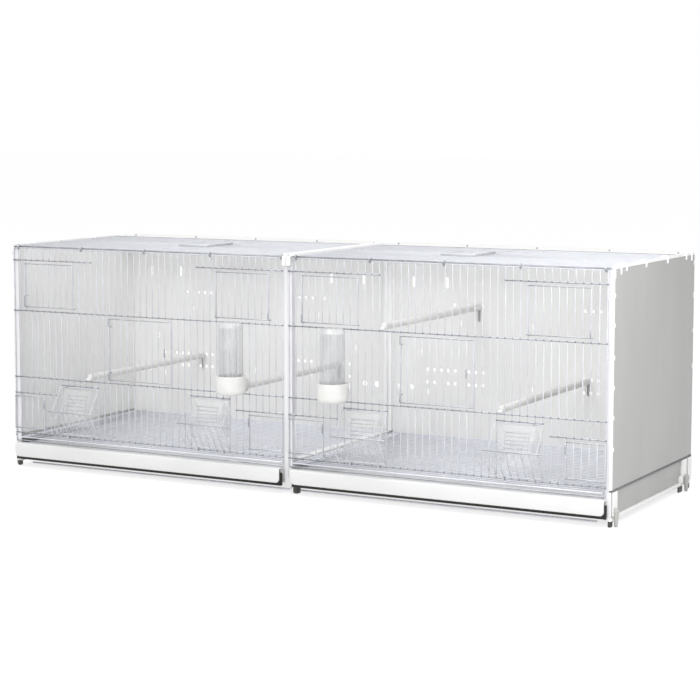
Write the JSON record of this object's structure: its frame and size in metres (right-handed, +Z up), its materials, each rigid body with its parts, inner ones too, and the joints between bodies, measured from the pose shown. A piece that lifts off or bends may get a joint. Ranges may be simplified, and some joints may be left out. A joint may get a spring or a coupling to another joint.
{
  "type": "bird breeding cage",
  "caption": "Long wire-fronted bird breeding cage with joined bays, sliding and hinged doors, tilt-out feeders, drinkers, perches, floor grilles and pull-out trays.",
  "frame": {"origin": "on the ground in the middle of the footprint, with the drinkers counted in", "axes": "+X along the cage's length to the viewer's right, +Y from the front to the back, +Z up"},
  "size_m": [1.2, 0.456, 0.4249],
  "materials": {
    "wire_white": "white powder coat, satin",
    "sheet_grey": "smooth light grey sheet",
    "profile_white": "white moulded plastic, satin",
    "clear": "clear polished plastic",
    "perch": "fine-grained grey plastic",
    "foot": "black moulded plastic",
    "seal": "black foam rubber",
    "zinc": "galvanised wire"
  },
  "bodies": {
    "cage": {"side_panel_left": "sheet_grey", "side_panel_right": "sheet_grey", "back_panel_left": "sheet_grey", "back_panel_right": "sheet_grey", "roof_grid_left": "wire_white", "roof_grid_right": "wire_white", "front_grid_left": "wire_white", "front_grid_right": "wire_white", "tie_wire_left": "wire_white", "tie_wire_right": "wire_white", "corner_post_front_left": "profile_white", "corner_post_front_right": "profile_white", "corner_post_rear_left": "profile_white", "corner_post_rear_right": "profile_white", "centre_post_front": "profile_white", "centre_post_rear": "profile_white", "roof_centre_rail": "profile_white", "floor_centre_rail": "profile_white", "base_side_left": "profile_white", "base_side_right": "profile_white", "perch_1": "perch", "perch_2": "perch", "perch_3": "perch", "perch_4": "perch", "foot_front_left": "foot", "foot_front_centre": "foot", "foot_front_right": "foot", "foot_rear_left": "foot", "foot_rear_centre": "foot", "foot_rear_right": "foot"},
    "tray_left": {"tray_left": "profile_white", "tray_seal_left": "seal"},
    "floor_grille_left": {"floor_grille_left": "zinc"},
    "tray_right": {"tray_right": "profile_white", "tray_seal_right": "seal"},
    "floor_grille_right": {"floor_grille_right": "zinc"},
    "nest_door_1": {"nest_door_1": "wire_white"},
    "nest_door_2": {"nest_door_2": "wire_white"},
    "nest_door_3": {"nest_door_3": "wire_white"},
    "nest_door_4": {"nest_door_4": "wire_white"},
    "bath_door_1": {"bath_door_1": "wire_white"},
    "bath_door_2": {"bath_door_2": "wire_white"},
    "bath_door_3": {"bath_door_3": "wire_white"},
    "bath_door_4": {"bath_door_4": "wire_white"},
    "main_door_left": {"main_door_left": "wire_white"},
    "main_door_right": {"main_door_right": "wire_white"},
    "feeder_1": {"feeder_frame_1": "wire_white", "feeder_cup_1": "clear"},
    "feeder_2": {"feeder_frame_2": "wire_white", "feeder_cup_2": "clear"},
    "feeder_3": {"feeder_frame_3": "wire_white", "feeder_cup_3": "clear"},
    "feeder_4": {"feeder_frame_4": "wire_white", "feeder_cup_4": "clear"},
    "drinker_cup_left": {"drinker_cup_left": "profile_white"},
    "drinker_tube_left": {"drinker_tube_left": "clear"},
    "drinker_cup_right": {"drinker_cup_right": "profile_white"},
    "drinker_tube_right": {"drinker_tube_right": "clear"},
    "roof_hatch_left": {"roof_hatch_left": "wire_white"},
    "roof_hatch_right": {"roof_hatch_right": "wire_white"}
  },
  "joints": [
    {"name": "tray_left_slide", "type": "slide", "parent": "cage", "child": "tray_left", "axis": [0, -1, 0], "range_m": [0, 0.38]},
    {"name": "floor_grille_left_slide", "type": "slide", "parent": "cage", "child": "floor_grille_left", "axis": [0, -1, 0], "range_m": [0, 0.38]},
    {"name": "tray_right_slide", "type": "slide", "parent": "cage", "child": "tray_right", "axis": [0, -1, 0], "range_m": [0, 0.38]},
    {"name": "floor_grille_right_slide", "type": "slide", "parent": "cage", "child": "floor_grille_right", "axis": [0, -1, 0], "range_m": [0, 0.38]},
    {"name": "nest_door_1_slide", "type": "slide", "parent": "cage", "child": "nest_door_1", "axis": [0, 0, 1], "range_m": [0, 0.08]},
    {"name": "nest_door_2_slide", "type": "slide", "parent": "cage", "child": "nest_door_2", "axis": [0, 0, 1], "range_m": [0, 0.08]},
    {"name": "nest_door_3_slide", "type": "slide", "parent": "cage", "child": "nest_door_3", "axis": [0, 0, 1], "range_m": [0, 0.08]},
    {"name": "nest_door_4_slide", "type": "slide", "parent": "cage", "child": "nest_door_4", "axis": [0, 0, 1], "range_m": [0, 0.08]},
    {"name": "bath_door_1_slide", "type": "slide", "parent": "cage", "child": "bath_door_1", "axis": [0, 0, 1], "range_m": [0, 0.058]},
    {"name": "bath_door_2_slide", "type": "slide", "parent": "cage", "child": "bath_door_2", "axis": [0, 0, 1], "range_m": [0, 0.058]},
    {"name": "bath_door_3_slide", "type": "slide", "parent": "cage", "child": "bath_door_3", "axis": [0, 0, 1], "range_m": [0, 0.058]},
    {"name": "bath_door_4_slide", "type": "slide", "parent": "cage", "child": "bath_door_4", "axis": [0, 0, 1], "range_m": [0, 0.058]},
    {"name": "main_door_left_hinge", "type": "hinge", "parent": "cage", "child": "main_door_left", "pos_m": [-0.37808, -0.1708, 0.235], "axis": [0, 0, -1], "range_deg": [0, 110]},
    {"name": "main_door_right_hinge", "type": "hinge", "parent": "cage", "child": "main_door_right", "pos_m": [0.22192, -0.1708, 0.235], "axis": [0, 0, -1], "range_deg": [0, 110]},
    {"name": "feeder_1_tilt", "type": "hinge", "parent": "cage", "child": "feeder_1", "pos_m": [-0.44634, -0.1708, 0.065], "axis": [1, 0, 0], "range_deg": [0, 45]},
    {"name": "feeder_2_tilt", "type": "hinge", "parent": "cage", "child": "feeder_2", "pos_m": [-0.15966, -0.1708, 0.065], "axis": [1, 0, 0], "range_deg": [0, 45]},
    {"name": "feeder_3_tilt", "type": "hinge", "parent": "cage", "child": "feeder_3", "pos_m": [0.15366, -0.1708, 0.065], "axis": [1, 0, 0], "range_deg": [0, 45]},
    {"name": "feeder_4_tilt", "type": "hinge", "parent": "cage", "child": "feeder_4", "pos_m": [0.44034, -0.1708, 0.065], "axis": [1, 0, 0], "range_deg": [0, 45]},
    {"name": "drinker_cup_left_lift", "type": "slide", "parent": "cage", "child": "drinker_cup_left", "axis": [0, 0, 1], "range_m": [0, 0.02]},
    {"name": "drinker_tube_left_lift", "type": "slide", "parent": "drinker_cup_left", "child": "drinker_tube_left", "axis": [0, 0, 1], "range_m": [0, 0.03]},
    {"name": "drinker_cup_right_lift", "type": "slide", "parent": "cage", "child": "drinker_cup_right", "axis": [0, 0, 1], "range_m": [0, 0.02]},
    {"name": "drinker_tube_right_lift", "type": "slide", "parent": "drinker_cup_right", "child": "drinker_tube_right", "axis": [0, 0, 1], "range_m": [0, 0.03]},
    {"name": "roof_hatch_left_hinge", "type": "hinge", "parent": "cage", "child": "roof_hatch_left", "pos_m": [-0.284, 0.06049, 0.4188], "axis": [-1, 0, 0], "range_deg": [0, 100]},
    {"name": "roof_hatch_right_hinge", "type": "hinge", "parent": "cage", "child": "roof_hatch_right", "pos_m": [0.2605, 0.06049, 0.4188], "axis": [-1, 0, 0], "range_deg": [0, 100]}
  ]
}
